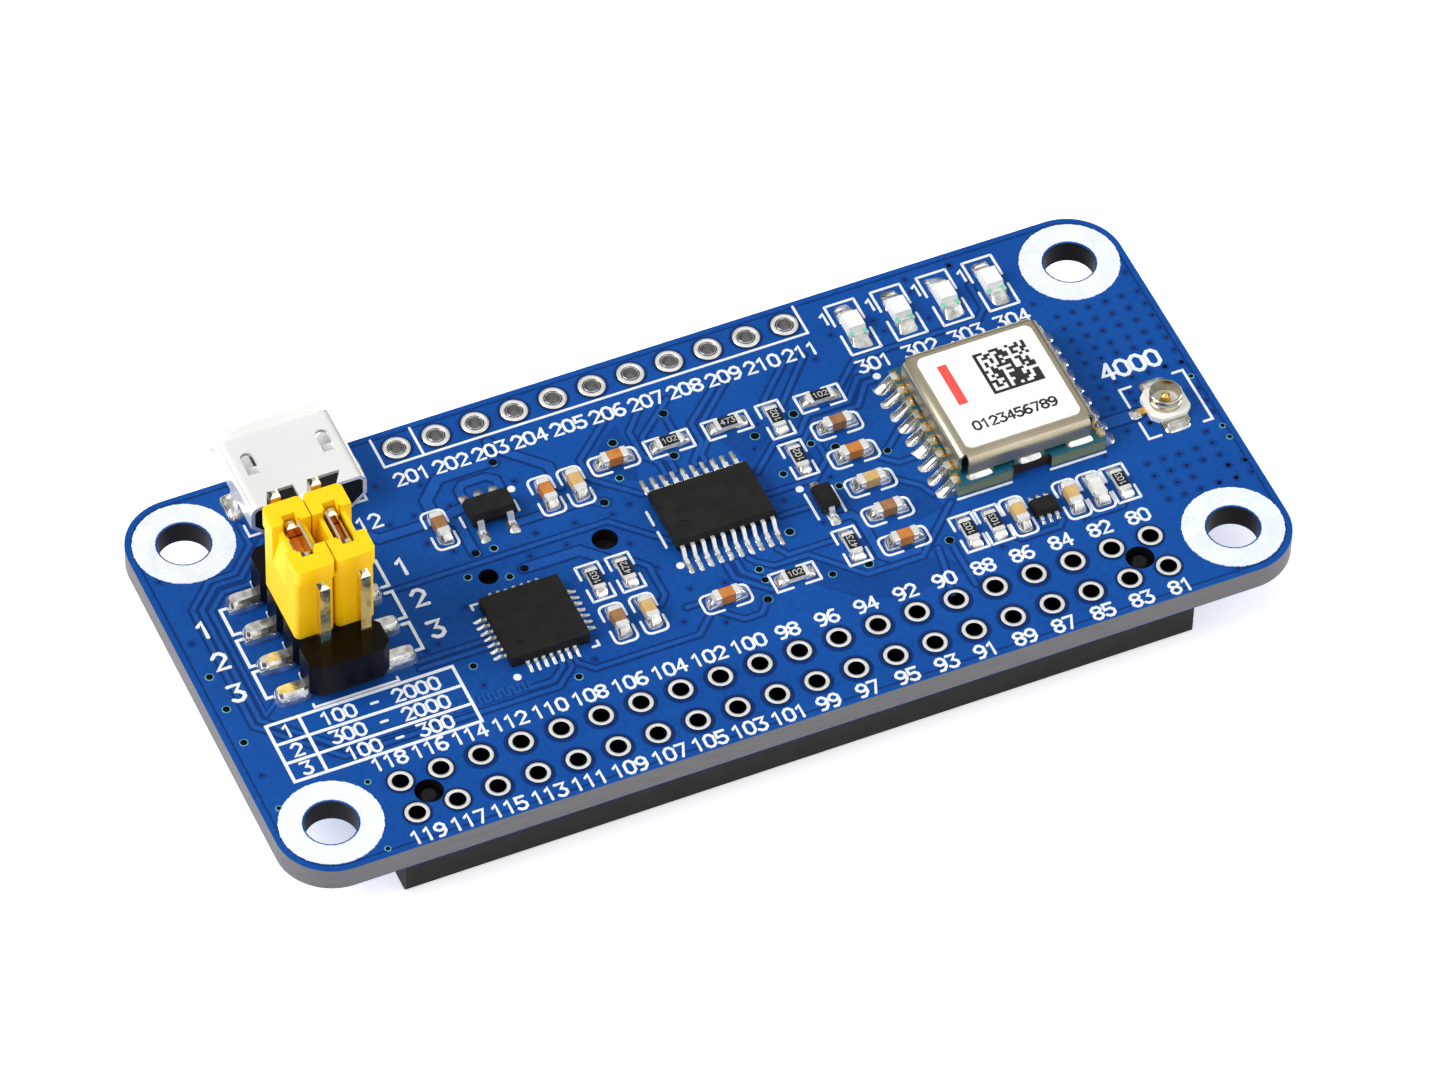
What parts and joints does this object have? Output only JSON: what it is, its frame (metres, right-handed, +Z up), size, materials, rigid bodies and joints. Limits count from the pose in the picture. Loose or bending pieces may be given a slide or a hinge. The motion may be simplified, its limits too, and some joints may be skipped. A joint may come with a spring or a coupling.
{
  "type": "gps module",
  "caption": "Plug-on positioning board: shielded receiver module, coaxial antenna socket, serial socket, routing jumpers, status lights and a female pin header underneath.",
  "frame": {"origin": "centre of the four mounting holes, on the board's underside", "axes": "+X along the board's long edge, +Y towards the serial socket's edge, +Z up from the parts side"},
  "size_m": [0.065, 0.0316, 0.0148],
  "materials": {
    "blue_mask": "glossy blue solder mask on glass-epoxy board",
    "tin": "matte tin plating",
    "black_plastic": "moulded black plastic, fine texture",
    "steel_shell": "bright nickel-plated sheet",
    "gold": "thin gold plating",
    "yellow_plastic": "moulded yellow plastic, soft gloss",
    "spring_metal": "tinned spring strip",
    "green_board": "green glass-epoxy carrier",
    "shield_metal": "dull champagne-tinned sheet",
    "label_paper": "white satin label stock",
    "chip_resin": "fine-grained black moulding resin",
    "white_plastic": "white moulded plastic",
    "white_ceramic": "fired white ceramic",
    "lens_clear": "milky clear resin",
    "ceramic_brown": "fired brown ceramic",
    "ceramic_orange": "fired orange-brown ceramic",
    "ceramic_tan": "fired tan ceramic",
    "black_glass": "glossy black glass coat",
    "cell_steel": "drawn nickel-plated steel"
  },
  "bodies": {
    "root": {"board": "blue_mask", "plated_holes": "tin", "header_housing": "black_plastic", "header_contacts": "gold", "usb_shell": "steel_shell", "usb_insulator": "black_plastic", "usb_contacts": "gold", "jumper_header_base": "black_plastic", "jumper_header_pins": "gold", "jumper_cap_left": "yellow_plastic", "jumper_cap_right": "yellow_plastic", "jumper_clip_left": "spring_metal", "jumper_clip_right": "spring_metal", "module_carrier": "green_board", "module_castellations": "tin", "module_shield": "shield_metal", "module_label": "label_paper", "receiver_chip": "chip_resin", "saw_filter": "white_ceramic", "oscillator": "shield_metal", "level_shifter_body": "chip_resin", "level_shifter_leads": "tin", "usb_bridge_body": "chip_resin", "usb_bridge_pads": "tin", "regulator_body": "chip_resin", "regulator_leads": "tin", "diode_body": "chip_resin", "diode_leads": "tin", "load_switch_body": "chip_resin", "load_switch_leads": "tin", "antenna_socket_base": "white_plastic", "antenna_socket_shell": "steel_shell", "antenna_socket_pin": "gold", "led_bases": "white_ceramic", "led_terminals": "tin", "ferrite_bead": "white_ceramic", "chip_terminals": "tin", "resistor_bodies": "white_ceramic", "resistor_coats": "black_glass", "cell_holder": "black_plastic", "cell_contacts": "spring_metal", "backup_cell": "cell_steel", "led_lens_1": "lens_clear", "led_lens_2": "lens_clear", "led_lens_3": "lens_clear", "led_lens_4": "lens_clear", "capacitor_1": "ceramic_brown", "capacitor_2": "ceramic_orange", "capacitor_3": "ceramic_tan", "capacitor_4": "ceramic_orange", "capacitor_5": "ceramic_brown", "capacitor_6": "ceramic_orange", "capacitor_7": "ceramic_tan", "capacitor_8": "ceramic_brown", "capacitor_9": "ceramic_orange", "capacitor_10": "ceramic_orange", "capacitor_11": "ceramic_brown", "capacitor_12": "ceramic_tan", "capacitor_13": "ceramic_tan", "capacitor_14": "ceramic_tan"}
  },
  "joints": []
}
